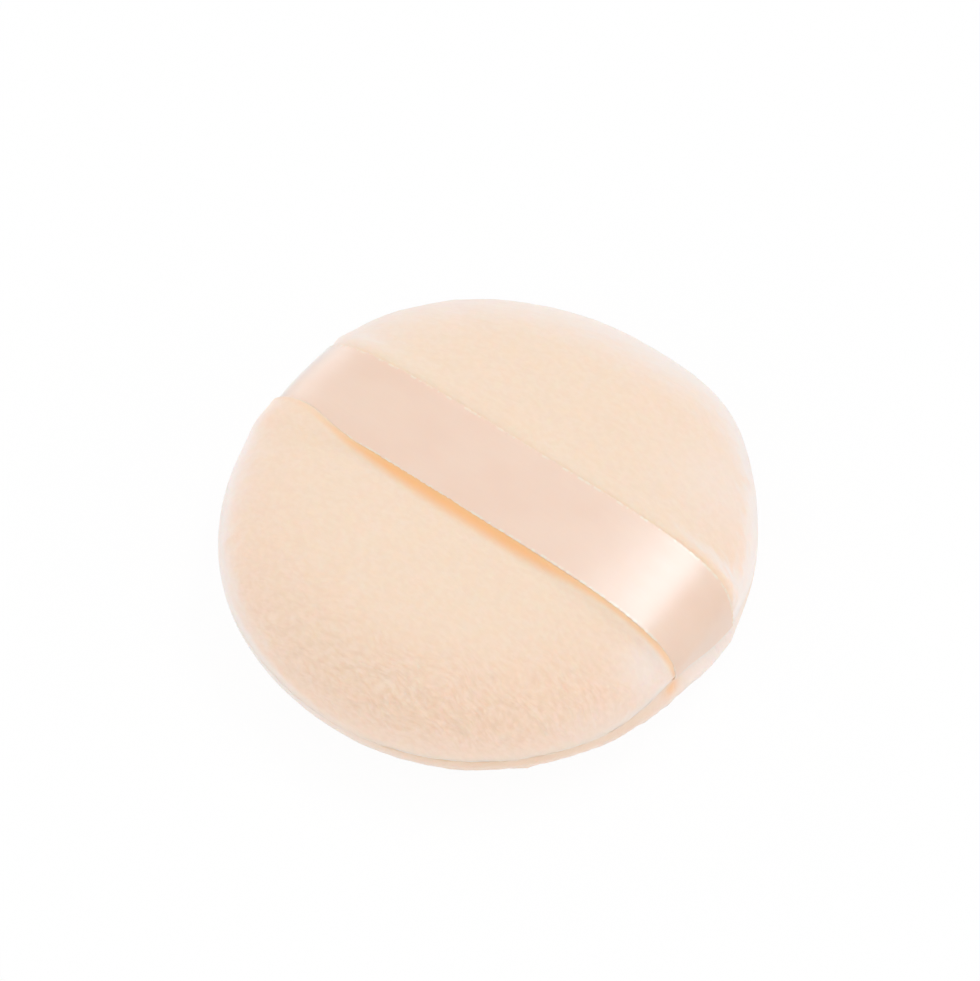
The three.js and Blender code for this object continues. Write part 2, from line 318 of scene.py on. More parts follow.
def ring_steps(fine, coarse):
    """Triangles between a closed ring and one with a whole share of its points. Each coarse point is joined
    to the fine points nearest to it."""
    step = len(fine) // len(coarse)
    place = np.arange(len(fine))
    part = place % step
    own = place // step
    nearest = coarse[np.where(part < step // 2, own, own + 1) % len(coarse)]
    sides = np.stack([fine, nearest, np.roll(fine, -1)], axis=1)
    bases = np.stack([fine[step // 2::step], coarse, np.roll(coarse, -1)], axis=1)
    return np.concatenate([sides, bases])


def disc_grid(count):
    """Distance and bearing of points spread evenly over a unit disc, from a square grid of count by count
    cells. Square rings become circles: a point's distance is its larger coordinate, and its bearing runs
    evenly along each side of its ring."""
    side = np.linspace(-1, 1, count + 1)
    across, along = np.meshgrid(side, side, indexing="ij")
    wide = np.abs(across) >= np.abs(along)
    reach = np.where(wide, across, along)
    part = np.where(wide, along, across) / np.where(reach == 0, 1, reach)
    bearing = np.where(wide, part, 2 - part) * np.pi / 4 + np.where(reach < 0, np.pi, 0)
    return np.abs(reach), bearing


def grid_places(count):
    """Numbers of a square grid's points."""
    return np.arange((count + 1) ** 2).reshape(count + 1, count + 1)


def grid_rim(count):
    """Places of a square grid's outer points, in order round it."""
    place = grid_places(count)
    return np.concatenate([place[:-1, 0], place[-1, :-1], place[:0:-1, -1], place[0, :0:-1]])


def grid_quads(count):
    """Faces of a square grid, facing up."""
    place = grid_places(count)
    corners = [place[:-1, :-1], place[1:, :-1], place[1:, 1:], place[:-1, 1:]]
    return np.stack([c.ravel() for c in corners], axis=1)


def spline_weights(places, count):
    """Shares of count + 1 evenly spaced values from -1 to 1 in a smooth curve through them, at other
    places: a Catmull-Rom spline, held level past both ends."""
    at = np.clip((places + 1) / 2 * count, 0, count)
    low = np.minimum(np.floor(at).astype(int), count - 1)
    t = (at - low)[:, None]
    shares = [
        -t + 2 * t ** 2 - t ** 3,
        2 - 5 * t ** 2 + 3 * t ** 3,
        t + 4 * t ** 2 - 3 * t ** 3,
        t ** 3 - t ** 2,
    ]
    shares = np.concatenate(shares, axis=1) / 2
    weights = np.zeros((len(places), count + 1))
    rows = np.arange(len(places))
    for offset in range(4):
        np.add.at(weights, (rows, np.clip(low + offset - 1, 0, count)), shares[:, offset])
    return weights


# The pad's form

# Swells of the pad's edge in plan: bearing and spread in degrees, and how far out, in millimetres
EDGE_SWELLS = (
    (0, 36, -1.1),
    (68, 16, 1.6),
    (26, 9, 0.25),
    (98, 14, 0.3),
    (137, 30, 0.85),
    (152, 8, 0.25),
    (183, 26, -1.3),
    (205, 9, 0.15),
    (228, 22, 0.4),
    (290, 48, 0.6),
    (320, 18, -0.25),
)

# Where the ribbon's right end lifts the seam and the lower cover bulges: bearing and spread in degrees
LIFTED_CORNER = (-10, 11)
TAIL_BULGE = (0, 20)


def around(bearing, part):
    """A bell curve round the pad: 1 at a part's bearing, with its spread, both in degrees."""
    place, spread = (math.radians(d) for d in part)
    return bell(apart(bearing, place), spread)


def under_ribbon(size, distance):
    """The ribbon's share of its full effect at a distance from its middle line."""
    half = size.ribbon_width / 2
    return fade(distance, half + size.clearance, half + size.bite_fade)


def near_tuck(size, x):
    """How far the ribbon's near edge is drawn in at a place along it: most at its gathered left tail."""
    return size.near_draw + (size.tail_tuck - size.near_draw) * (1 - fade(-x, 19 * MM, 33 * MM))


def ribbon_bearing(bearing):
    """Angle of a bearing from the ribbon's line."""
    return np.minimum(apart(bearing, 0), apart(bearing, np.pi))


def edge_share(size, bearing):
    """Radius of the pad's edge at a bearing as a share of the round pad's: bell curves for the lobes and for
    the pull of the ribbon's tails, and a straight stretch under the ribbon itself."""
    pulled = np.full(np.shape(bearing), size.pad_radius)
    for place, spread, out in EDGE_SWELLS:
        pulled = pulled + out * MM * around(bearing, (place, spread))
    aside = ribbon_bearing(bearing)
    reach = np.where(np.cos(bearing) > 0, size.right_reach, size.left_reach) - size.ribbon_standoff
    flat = np.minimum(reach / np.cos(np.minimum(aside, 1.5)), pulled)
    loose = (np.cos(bearing) < 0) & (np.sin(bearing) < 0)
    held = under_ribbon(size, pulled * np.sin(aside) + size.tail_tuck * loose)
    return (pulled + (flat - pulled) * held) / size.pad_radius


def seam_room(size):
    """Half the height that the plies and their stitches take up in the sponge's edge."""
    return size.seam_ply + 2 * size.thread_radius + 2.5 * size.clearance


def flange_radius(size):
    """The turned-in edges reach in to here."""
    return size.pad_radius - size.velour_thickness - size.seam_allowance


def drawn_up(size, radius, bearing, height):
    """How far the ribbon's right end draws a point up: most at the seam, by the ribbon's near corner."""
    outwards = 1 - fade(radius, 28 * MM, 37 * MM)
    return size.seam_lift * around(bearing, LIFTED_CORNER) * outwards * fade(height, 0, 9 * MM)


def settle(size, radius, bearing, height, side, bulge=0.0):
    """Places of the round pad's points, with height measured away from the seam plane on one side of it.
    The edge's share scales them in plan, the plies part round the ribbon's tails and close beside them, a
    bulge stands out under the right tail, and the seam is drawn up there."""
    x = radius * np.cos(bearing)
    y = radius * np.sin(bearing)
    share = edge_share(size, bearing)
    rounded = (1 - fade(np.abs(height), 0.5 * MM, 3.5 * MM)) * around(bearing, TAIL_BULGE)
    share = share + bulge / size.pad_radius * rounded
    flange = flange_radius(size)
    room = seam_room(size)
    edge = size.ribbon_width / 2 - near_tuck(size, x) * (y < 0)
    beside = fade(np.abs(y), edge - 0.1 * MM, edge + 0.5 * MM)
    near = fade(np.abs(height), room, room + size.bite_fade)
    outwards = 1 - fade(np.abs(x), flange - 2 * size.bite_fade, flange - size.bite_fade)
    parting = (size.ribbon_standoff + size.ribbon_thickness / 2) * beside * near * outwards
    lifted = height + parting + side * drawn_up(size, radius, bearing, height)
    return np.stack([x * share, y * share, lifted], axis=-1)


# Steps in which a half's way from the seam to its level patch is measured
WAY_STEPS = 4000


class Half:
    """One half of the pad: a superellipse quarter, from the seam to a level patch round the middle."""

    def __init__(self, size, upper):
        self.size = size
        self.side = 1 if upper else -1
        self.flat = 0 if upper else size.rest_radius
        self.height = size.crown_height if upper else size.belly_depth
        self.power = size.crown_power if upper else size.belly_power
        self.drawn = size.drawn_power if upper else size.belly_power
        self.bulge = 0.0 if upper else size.right_bulge
        self.fold = size.seam_fold if upper else size.lower_fold

    def section(self, angle, inner, bearing, inset):
        """Radius and height above the seam at an angle from the seam, nought, to the crown, a right angle.
        Inner is the share of the level patch that lies outside the point. The shoulder is squarer near the
        ribbon."""
        squarer = bell(ribbon_bearing(bearing), self.size.drawn_spread)
        power = self.power + (self.drawn - self.power) * squarer
        cosine = np.maximum(np.cos(angle), 0)
        curved = self.size.pad_radius - inset - self.flat
        radius = self.flat * (1 - inner) + curved * cosine ** (2 / power)
        return radius, (self.height - inset) * np.sin(angle) ** (2 / power)

    def spread(self, lowest, inset=0):
        """A way from the seam to the middle in fine steps: lengths along it, the angles there and the shares
        of the level patch. It starts at the lowest height above the seam."""
        start = math.asin((lowest / (self.height - inset)) ** (self.power / 2))
        angle = np.concatenate([np.linspace(start, np.pi / 2, WAY_STEPS), np.full(2, np.pi / 2)])
        inner = np.concatenate([np.zeros(WAY_STEPS), [0.5, 1]])
        radius, height = self.section(angle, inner, np.full(len(angle), np.pi / 2), inset)
        steps = np.hypot(np.diff(radius), np.diff(height))
        return np.concatenate([[0], np.cumsum(steps)]), angle, inner

    def surface(self, distance, bearing, lowest, inset=0):
        """Points at shares of the way from the middle, nought, to the seam, one."""
        run, angle, inner = self.spread(lowest, inset)
        at = (1 - distance) * run[-1]
        angle, inner = np.interp(at, run, angle), np.interp(at, run, inner)
        radius, height = self.section(angle, inner, bearing, inset)
        return settle(self.size, radius, bearing, height, self.side, self.bulge)

    def stand(self, points):
        """Points given above the seam plane, on this half's side of it."""
        return points * (1, 1, self.side) + (0, 0, self.size.seam_height)

    def faces(self, corners):
        """Faces turned to point out on this half's side."""
        return corners if self.side > 0 else corners[:, ::-1]


# The swelling

# The cloth's cells along a side, how much it is enlarged, how long and hard it is blown up, and smoothings
SIM_COUNT = 56
SIM_SCALE = 20
SIM_FRAMES = 20
SIM_PRESSURE = 4
SIM_SMOOTHINGS = 12


def blown_up(start, held):
    """Where pressure moves the points of two halves' grids, which are joined at the rim as one closed cloth
    and held as far as their weights say. The solver works best on metre-sized cloth, so it is enlarged."""
    rim = grid_rim(SIM_COUNT)
    count = (SIM_COUNT + 1) ** 2
    place = np.arange(2 * count)
    place[count + rim] = rim
    used, place = np.unique(place, return_inverse=True)
    quads = np.concatenate([grid_quads(SIM_COUNT), grid_quads(SIM_COUNT)[:, ::-1] + count])
    cloth = add_mesh("covers_cloth", start[used] * SIM_SCALE, place[quads])
    group = cloth.vertex_groups.new(name="held")
    weights = np.round(held[used], 2)
    for level in np.unique(weights):
        group.add(np.flatnonzero(weights == level).tolist(), float(level), "REPLACE")
    modifier = cloth.modifiers.new("swell", "CLOTH")
    settings = modifier.settings
    settings.quality = 6
    settings.vertex_group_mass = "held"
    settings.use_pressure = True
    settings.uniform_pressure_force = SIM_PRESSURE
    settings.effector_weights.gravity = 0
    modifier.point_cache.frame_start = 1
    modifier.point_cache.frame_end = SIM_FRAMES
    scene = bpy.context.scene
    for step in range(1, SIM_FRAMES + 1):
        scene.frame_set(step)
    blown = cloth.evaluated_get(bpy.context.evaluated_depsgraph_get())
    moved = read_vectors(blown.data.vertices, "co") / SIM_SCALE
    scene.frame_set(1)
    bpy.data.objects.remove(cloth)
    return moved[place]


def swell_covers(size, halves):
    """The filling swells both covers: a cloth of their shape, drawn in a little, is blown up while the seam,
    the patch on the table and the shoulders under the ribbon are held. Gives how far each half's grid has
    moved, with the moves limited, and smoothed because thick velour bridges small wrinkles."""
    distance, bearing = disc_grid(SIM_COUNT)
    full, start, held = [], [], []
    for half in halves:
        points = half.surface(distance, bearing, 0)
        normal = unit(np.cross(np.gradient(points, axis=0), np.gradient(points, axis=1)))
        x, y = np.abs(points[..., 0]), np.abs(points[..., 1])
        hold = fade(1 - distance, 0.02, 0.1)
        if half.side > 0:
            hold = np.maximum(hold, under_ribbon(size, y) * (1 - fade(x, 24 * MM, 30 * MM)))
        else:
            hold = np.maximum(hold, fade(np.hypot(x, y), half.flat, half.flat + size.bite_fade))
        full.append(half.stand(points).reshape(-1, 3))
        start.append(half.stand(points - normal * (size.swell * (1 - hold))[..., None]).reshape(-1, 3))
        held.append(hold.ravel())
    full, start, held = (np.concatenate(parts) for parts in (full, start, held))
    move = blown_up(start, held) - start
    far = np.linalg.norm(move, axis=1, keepdims=True)
    most = size.swell + size.swell_over
    move = move * np.minimum(1, most / np.maximum(far, 1e-9)) + start - full
    move = move.reshape(2, SIM_COUNT + 1, SIM_COUNT + 1, 3)
    for _ in range(SIM_SMOOTHINGS):
        wide = np.pad(move, ((0, 0), (1, 1), (1, 1), (0, 0)), "edge")
        sides = wide[:, :-2, 1:-1] + wide[:, 2:, 1:-1] + wide[:, 1:-1, :-2] + wide[:, 1:-1, 2:]
        move = move / 2 + sides / 8
    return move * (1 - fade(1 - distance, 0, 0.08))[..., None]


# The covers

# Cells along a side of each half's grid, rim points to one of the inside, and rings in the fold and wall
FINE_COUNT = {1: 295, -1: 240}
RING_SHARE = 5
FOLD_STEPS = 6
WALL_STEPS = 12


def cover_mesh(half, name, move):
    """A closed velour shell: a grid over the outside, a rounded fold into the seam, the turned-in edge with
    its raw end, and the inside up to the middle. The outside follows the swollen cloth. Gives the piece, how
    much pile each point has, and its place on the cloth laid flat, as far out as along the surface."""
    size = half.size
    count = FINE_COUNT[half.side]
    distance, bearing = disc_grid(count)
    rim = grid_rim(count)
    edge_bearing = bearing.ravel()[rim]
    ply = size.clearance / 2
    meet = size.seam_meet / 2
    fold_top = meet + half.fold
    outside = half.surface(distance, bearing, fold_top)
    run = half.spread(fold_top)[0][-1]
    share = run / half.spread(0)[0][-1]
    weights = spline_weights(np.linspace(-share, share, count + 1), SIM_COUNT)
    lift = np.einsum("ai,ijk,bj->abk", weights, move * (1, 1, half.side), weights)
    outside = (outside + lift).reshape(-1, 3)

    # The fold is a quarter circle from straight down to straight in
    edge_radius = half.section(half.spread(fold_top)[1][0], 0, edge_bearing, 0)[0]
    rings = []
    for angle in np.linspace(0, np.pi / 2, FOLD_STEPS + 1)[1:]:
        radius = edge_radius - half.fold * (1 - np.cos(angle))
        height = fold_top - half.fold * np.sin(angle)
        ring = settle(size, radius, edge_bearing, np.full_like(radius, height), half.side)
        rings.append(ring + lift.reshape(-1, 3)[rim] * np.cos(angle))
    coarse = edge_bearing[::RING_SHARE]
    flange = flange_radius(size)
    for radius, height in ((flange, ply), (flange, ply + size.seam_ply)):
        level = np.full_like(coarse, height)
        rings.append(settle(size, np.full_like(coarse, radius), coarse, level, half.side))
    inside = ply + size.seam_ply, size.velour_thickness
    for part in np.linspace(1, 0, WALL_STEPS + 1)[:-1]:
        rings.append(half.surface(np.full_like(coarse, part), coarse, *inside))
    middle = half.surface(np.zeros(1), np.zeros(1), *inside)

    ends = np.cumsum([len(outside)] + [len(r) for r in rings])
    places = [np.arange(a, b) for a, b in zip(ends[:-1], ends[1:])]
    quads = [grid_quads(count)]
    triangles = []
    for above, below in zip([rim] + places[:-1], places):
        if len(above) == len(below):
            quads.append(ring_quads(above, below))
        else:
            triangles.append(ring_steps(above, below))
    last = places[-1]
    triangles.append(np.stack([last, np.full(len(last), ends[-1]), np.roll(last, -1)], axis=1))
    points = half.stand(np.concatenate([outside] + rings + [middle]))
    piece = add_mesh(name, points, *(half.faces(np.concatenate(c)) for c in (quads, triangles)))
    pile = np.zeros(len(points))
    pile[:len(outside)] = 1
    for step, ring in enumerate(places[:FOLD_STEPS]):
        pile[ring] = fade(step + 1, 1, FOLD_STEPS)
    flat = points[:, :2].copy()
    laid = np.stack([distance * np.cos(bearing), distance * np.sin(bearing)], axis=-1)
    flat[:len(outside)] = run * laid.reshape(-1, 2)
    return piece, pile, flat


# The pile

# The brush stroke's bend, per metre, and how far it strays
STROKE_BEND = 3.5
STROKE_SWAY = 1.2 * MM

# How far a lock leans over for its height, and seeds of the pile's noises
NAP_LEAN = 0.9
NAP_SEED, CLUMP_SEED, FUZZ_SEED, SWAY_SEED = 3, 11, 23, 31

# Where the pile's relief, its painted sheen and its painted shade differ round the pad: bearing and spread
# in degrees
BRUSHED_WALL = (296, 52)
FRONT_WALL = (295, 40)
RIGHT_WALL = (333, 16)
BACK_WALL = (135, 45)
SHADED_BELLY = (304, 30)
LIT_BELLY = (245, 32)
TAIL_BELLY = (5, 17)

# Spots in plan where pale sheen is painted on the pile: place and spread in millimetres
CORNER_SHEEN = (35.5, -9.5, 5)
FAR_FLANK = (27, 22, 9)

# Along the ribbon, where its left and right tails begin and where they are in full
LEFT_TAIL = (19 * MM, 29 * MM)
RIGHT_TAIL = (8 * MM, 30 * MM)


def spot(x, y, part):
    """A bell curve over the pad in plan: 1 at a part's place, with its spread, in millimetres."""
    across, along, spread = (v * MM for v in part)
    return bell(np.hypot(x - across, y - along), spread)


class CoverPoints:
    """A cover's points: their bearings, their heights above the seam where it is drawn up, and their places
    along and beside the ribbon. Opened is how far the pile opens where the cover bends."""

    def __init__(self, half, piece):
        self.size = half.size
        self.side = half.side
        self.upper = 1.0 if half.side > 0 else 0.0
        self.place = read_vectors(piece.data.vertices, "co")
        self.normal = read_vectors(piece.data.vertex_normals, "vector")
        self.x, self.y, self.z = self.place.T
        self.bearing = np.arctan2(self.y, self.x)
        height = self.z - self.size.seam_height
        radius = np.hypot(self.x, self.y)
        self.above = height - drawn_up(self.size, radius, self.bearing, np.maximum(height, 0))
        self.near = self.y < 0
        self.aside = np.abs(self.y)
        self.inner = self.size.ribbon_width / 2 - near_tuck(self.size, self.x) * self.near
        self.left = 1 - fade(-self.x, *LEFT_TAIL)
        self.right = 1 - fade(self.x, *RIGHT_TAIL)
        self.slope = np.sqrt(np.maximum(1 - self.normal[:, 2] ** 2, 0))
        self.opened = 1 - fade(self.slope, 0.1, 0.75)
        # Where pale sheen is painted by the ribbon's right near corner, where the pile also lies smoother
        self.corner_sheen = spot(self.x, self.y, CORNER_SHEEN) * self.opened * self.upper
        self.sewn = fade(np.abs(self.above), 0.8 * MM, 6 * MM)


def combed(at, flat):
    """Places along and across the brush stroke, which runs near the ribbon's way, bends and strays."""
    sway = soft_noise(at.place / (5 * MM), SWAY_SEED) + 0.3 * soft_noise(at.place / (2 * MM), SWAY_SEED)
    stroke = flat[:, 1] + STROKE_BEND * flat[:, 0] ** 2 + STROKE_SWAY * sway
    return np.stack([flat[:, 0], stroke, 0 * at.x + at.side * MM], axis=1)


def roughness(at):
    """How rough the pile lies: most where it opens on the brushed wall, and less at the seam."""
    brushed = at.opened * around(at.bearing, BRUSHED_WALL) * (0.4 + 0.6 * at.upper)
    return 0.12 + 0.88 * brushed * (1 - 0.8 * at.sewn) * (1 - 0.4 * at.corner_sheen)


def locks_and_dents(at, comb, rough):
    """How far locks drawn out along the stroke, and these with soft dents, stand out. They are low where the
    ribbon presses on the pile, where it rests on the table and where it is sewn."""
    size = at.size
    lock = (size.nap_length, size.nap_width, size.nap_width)
    locks = soft_noise(comb / lock, NAP_SEED) + 0.3 * soft_noise(comb / lock * 2.1, FUZZ_SEED)
    dents = soft_noise(at.place / size.clump_size, CLUMP_SEED)
    dents = dents + 0.8 * soft_noise(at.place / (1.9 * size.clump_size), CLUMP_SEED)
    half_width = size.ribbon_width / 2
    pressed = fade(at.aside, half_width - 1 * MM, half_width + 1 * MM) * at.upper
    rested = fade(at.z, 0.1 * MM, 1.5 * MM)
    free = (1 - 0.7 * pressed) * (1 - rested) * (1 - 0.7 * at.sewn)
    strokes = size.nap_height * locks * rough
    deeper = 0.2 + 1.3 * at.opened * around(at.bearing, BRUSHED_WALL) * at.upper
    return strokes * free, (strokes + size.clump_height * dents * deeper) * free


def banked_pile(at):
    """Pile beside the ribbon: its share of the bank there, and how far it stands up to the ribbon's edges
    and laps over the edge of the left tail. The ribbon's path is a superellipse, and a point's depth below
    it is its shortfall from one over the slope."""
    size = at.size
    power = size.ribbon_power
    reach = np.where(at.x > 0, size.right_reach, size.left_reach)
    along = np.minimum(np.abs(at.x) / reach, 1)
    level = np.clip(at.above / size.ribbon_rise, 0, 1)
    steep = power * np.hypot(along ** (power - 1) / reach, level ** (power - 1) / size.ribbon_rise)
    below = (1 - along ** power - level ** power) / np.maximum(steep, 1)
    lap = -0.12 - 0.12 * at.left + 0.42 * fade(at.aside, at.inner - 0.75 * MM, at.inner - 0.2 * MM)
    below = np.clip(below - np.where(at.near, lap, 0.25) * MM, 0, 1.1 * MM)
    spread = np.where(at.near, 1.3 + 2.2 * at.left, 2.6) * MM
    bank = bell(at.aside - at.inner - 0.1 * MM, spread) * at.upper * (1 - fade(at.above, 1.5 * MM, 4 * MM))
    return bank, (below + size.pile_lip * at.left * at.near) * bank


def painted_crease_shade(at):
    """How much warm painted shade a point gets beside the ribbon: in the gap along its edges, which closes
    towards its tails, and in the pocket under its right near corner."""
    size = at.size
    slim = 1 - fade(-at.x, 4 * MM, 27 * MM)
    wide = np.where(at.near, 1.9 - 1.3 * at.right - 1.1 * slim, 0.5) * MM
    deep = 0.2 + (0.8 - 0.35 * at.right) * fade(-at.x, 12 * MM, 31 * MM)
    deep = np.where(at.near, deep, 0.12) * at.upper
    gap = fade(at.aside, at.inner + 0.3 * wide, at.inner + 1.3 * wide) * deep
    corner = (size.right_reach, -size.ribbon_width / 2, size.seam_height + 0.65 * size.seam_lift)
    pocket = bell(np.linalg.norm(at.place - corner, axis=1), 1.5 * MM) * (0.85 + 0.15 * at.upper)
    return np.maximum(gap, pocket)


def painted_sheen_and_shade(at, rough, bank):
    """How strongly pale sheen is painted at an edge-on view, where it is painted at any view, and how much
    painted shade lies on the lower cover. That shade spares the cover's left side; the sheen is painted in
    spots of the upper cover, low on its front and right walls, and under the ribbon's right tail."""
    lit_side = around(at.bearing, LIT_BELLY)
    tail = around(at.bearing, TAIL_BELLY) * (1 - at.upper)
    front = around(at.bearing, FRONT_WALL)
    turned = fade(at.above, 0.3 * MM, 1.6 * MM)
    # Painted sheen is weaker on the back wall and low on the front wall, and stronger higher on the front
    ends = 1 - 0.45 * around(at.bearing, BACK_WALL) + 0.2 * front - 0.9 * front * turned
    ends = np.where(at.side > 0, ends, 0.1 + 0.9 * lit_side)
    covered = np.where(at.near, 0.7, 0.3) * bank
    sheen_strength = ends * (1 - covered) * (1 - 0.5 * rough * at.upper)
    flank = spot(at.x, at.y, FAR_FLANK) * at.upper
    foot = front * fade(at.above, 1.5 * MM, 7 * MM) * at.upper
    heel = around(at.bearing, RIGHT_WALL) * fade(at.above, 2 * MM, 9 * MM) * at.upper
    # Painted sheen at any view: in spots, low on the front and right walls, and under the right tail
    shown = np.maximum.reduce([0.6 * at.corner_sheen + 0.32 * flank + 0.75 * tail, 0.15 * foot, 0.28 * heel])
    # Painted shade on the lower cover: deepest on its front right, little on its front left, none under the
    # right tail
    painted_light_share = 0.3 + 0.33 * around(at.bearing, SHADED_BELLY)
    return sheen_strength, shown, painted_light_share * (1 - at.upper) * (1 - lit_side) * (1 - tail)


def raise_pile(half, piece, pile, flat):
    """Brushes the pile up: points move out along the surface, and over to one side with their locks. Each
    gets values for the material: its place on the stroke, how much warmer wall tint it gets, how rough the
    pile lies, how much painted shade it gets beside the ribbon, and its painted sheen and painted
    lower-cover shade."""
    at = CoverPoints(half, piece)
    comb = combed(at, flat)
    rough = roughness(at)
    strokes, rise = locks_and_dents(at, comb, rough)
    bank, raised = banked_pile(at)
    moved = at.place + at.normal * ((rise + raised) * pile)[:, None]
    moved[:, 0] += NAP_LEAN * strokes * pile * at.slope
    moved[:, 2] = np.maximum(moved[:, 2], 0.02 * MM)
    piece.data.vertices.foreach_set("co", moved.astype(np.float32).ravel())
    piece.data.update()
    sheen_strength, shown, painted_light_share = painted_sheen_and_shade(at, rough, bank)
    # Values that paint light into the velour's colour: the warmer wall tint, warm shade beside the ribbon,
    # pale sheen at an edge-on view, pale sheen spots, and shade on the lower cover
    for name, values in (
        ("comb", comb),
        # Warmer tint on the steep walls: painted warm shade there, with roots showing where the pile opens
        ("wall_tint", np.clip(0.8 * at.opened, 0, 1)),
        ("nap", rough),
        ("crease_shade", painted_crease_shade(at)),
        ("sheen_share", sheen_strength),
        ("sheen_spots", shown),
        ("belly_shade", painted_light_share),
    ):
        add_attribute(piece, name, values)


# Materials

EASED = {"interpolation_type": "SMOOTHSTEP"}


def add_node(tree, kind, inputs=(), **settings):
    """Adds a node and gives its outputs. Its inputs are in order, or by name or number: an output is linked
    to an input, and anything else is its value. A Map Range takes a value, low and high, start and end, and
    a Mix takes its share at 0 and its colours at 6 and 7, and gives the mixed colour at 2."""
    made = tree.nodes.new("ShaderNode" + kind)
    for key, value in settings.items():
        setattr(made, key, value)
    for key, value in inputs.items() if isinstance(inputs, dict) else enumerate(inputs):
        socket = made.inputs[key]
        if isinstance(value, bpy.types.NodeSocket):
            tree.links.new(value, socket)
        elif socket.type == "RGBA":
            socket.default_value = (*value[:3], 1)
        else:
            socket.default_value = value
    return made.outputs


def new_material(name, settings):
    """A material with one Principled shader and its even settings."""
    material = bpy.data.materials.new(name)
    material.use_nodes = True
    tree = material.node_tree
    shader = tree.nodes["Principled BSDF"]
    for key, value in settings.items():
        shader.inputs[key].default_value = value
    return material, tree, shader


def drive(tree, shader, outputs):
    """Links outputs to a shader's inputs by name."""
    for key, output in outputs.items():
        tree.links.new(output, shader.inputs[key])


def even_noise(tree, vector, size, detail):
    """Noise with features of a size, in metres, along each axis."""
    scaled = add_node(tree, "Mapping", {"Vector": vector, "Scale": [1 / s for s in size]})[0]
    return add_node(tree, "TexNoise", {"Vector": scaled, "Scale": 1.0, "Detail": detail})["Fac"]


def glanced(tree, low, high, most):
    """How nearly edge-on the surface is seen, eased between two levels."""
    facing = add_node(tree, "LayerWeight", {"Blend": 0.5})["Facing"]
    return add_node(tree, "MapRange", [facing, low, high, 0.0, most], **EASED)[0]


def layered(tree, base, *layers):
    """A colour with others laid over it in turn, each with its share."""
    for share, over in layers:
        base = add_node(tree, "Mix", {0: share, 6: base, 7: over}, data_type="RGBA")[2]
    return base


def shaded(hue, shares):
    """A colour with its red, green and blue brought down to shares of themselves."""
    return [c * s for c, s in zip(hue, shares)]


def velour_material(finish):
    """Brushed polyester velour with short standing pile. Painted light is mixed into its colour: pale sheen
    at an edge-on view and in spots, a warmer tint on the steep walls for their warm shade and their showing
    roots, shade between the locks and on the lower cover, and warm shade in the seam pocket and beside the
    ribbon.
    Where the pile lies rough its colour is blotchy. Light spreads in the pile by subsurface scattering. Real
    fibres are about 0.02 mm, so the fuzz is drawn ten times as coarse to show."""
    material, tree, shader = new_material(
        "velour_brushed_polyester_pile",
        {
            "Roughness": 0.9,
            "IOR": 1.5,
            "Specular IOR Level": 0.1,
            "Sheen Weight": 0.8,
            "Sheen Roughness": 0.45,
            "Sheen Tint": (1.0, 0.94, 0.91, 1),
            "Subsurface Weight": 0.4,
            "Subsurface Radius": (1.0, 0.5, 0.3),
            "Subsurface Scale": 1.8 * MM,
        },
    )
    place = add_node(tree, "TexCoord")["Object"]
    comb = add_node(tree, "Attribute", attribute_name="comb")["Vector"]
    wall_tint, nap, crease_shade, belly_shade, sheen_share, sheen_spots = (
        add_node(tree, "Attribute", attribute_name=name)["Fac"]
        for name in ("wall_tint", "nap", "crease_shade", "belly_shade", "sheen_share", "sheen_spots")
    )
    streak = even_noise(tree, comb, (1.6 * MM, 0.6 * MM, 1 * MM), 1.0)
    fuzz = even_noise(tree, place, (0.22 * MM, 0.16 * MM, 0.16 * MM), 2.0)
    mottle = even_noise(tree, place, (3.4 * MM, 2.8 * MM, 2.8 * MM), 3.0)
    grain = even_noise(tree, place, (1.1 * MM, 0.8 * MM, 0.8 * MM), 1.0)
    # Painted shade between the locks of pile where the streak noise is high, with the painted shade on the
    # lower cover added
    painted_shade_share = add_node(tree, "MapRange", [streak, 0.4, 0.7, 0.0, 0.3], **EASED)[0]
    painted_shade_share = add_node(tree, "Math", [painted_shade_share, nap, belly_shade], operation="MULTIPLY_ADD")[0]
    blotch = add_node(tree, "MapRange", [grain, 0.3, 0.7, 0.0, 0.1], **EASED)[0]
    rough = add_node(tree, "MapRange", [nap, 0.0, 1.0, 1.0, 2.2], **EASED)[0]
    blotch = add_node(tree, "Math", [blotch, rough], operation="MULTIPLY")[0]
    warmth = add_node(tree, "MapRange", [mottle, 0.35, 0.75, 0.0, 0.3], **EASED)[0]
    # Painted sheen: a pale colour mixed in at an edge-on view and, in spots, at any view
    pale = add_node(tree, "Math", [glanced(tree, 0.28, 0.75, 0.92), sheen_share], operation="MULTIPLY")[0]
    pale = add_node(tree, "Math", [pale, sheen_spots], operation="MAXIMUM")[0]
    pile = layered(
        tree,
        finish.pile_tip,
        (wall_tint, finish.pile_wall_tint),
        (painted_shade_share, finish.pile_shade),
        (blotch, finish.pile_shade),
        (warmth, shaded(finish.pile_tip, (1.0, 0.96, 0.9))),
        (pale, finish.painted_sheen),
        # Warm painted shade beside the ribbon and in the seam pocket
        (crease_shade, finish.pile_crease_shade),
    )
    relief = add_node(tree, "Math", [fuzz, 0.5, streak], operation="MULTIPLY_ADD")[0]
    strength = add_node(tree, "MapRange", [nap, 0.0, 1.0, 0.3, 0.85], **EASED)[0]
    bump = add_node(tree, "Bump", {"Strength": strength, "Distance": 0.15 * MM, "Height": relief})[0]
    drive(tree, shader, {"Base Color": pile, "Normal": bump})
    return material


def dress(piece, material, slot, body, *nodes):
    """Gives a finished piece its material, and puts it on its body in place of CAD nodes. Its slot is not
    used.
    """
    piece.data.materials.append(material)
    if body:
        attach(piece, body)
    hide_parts(*nodes)


# The ribbon

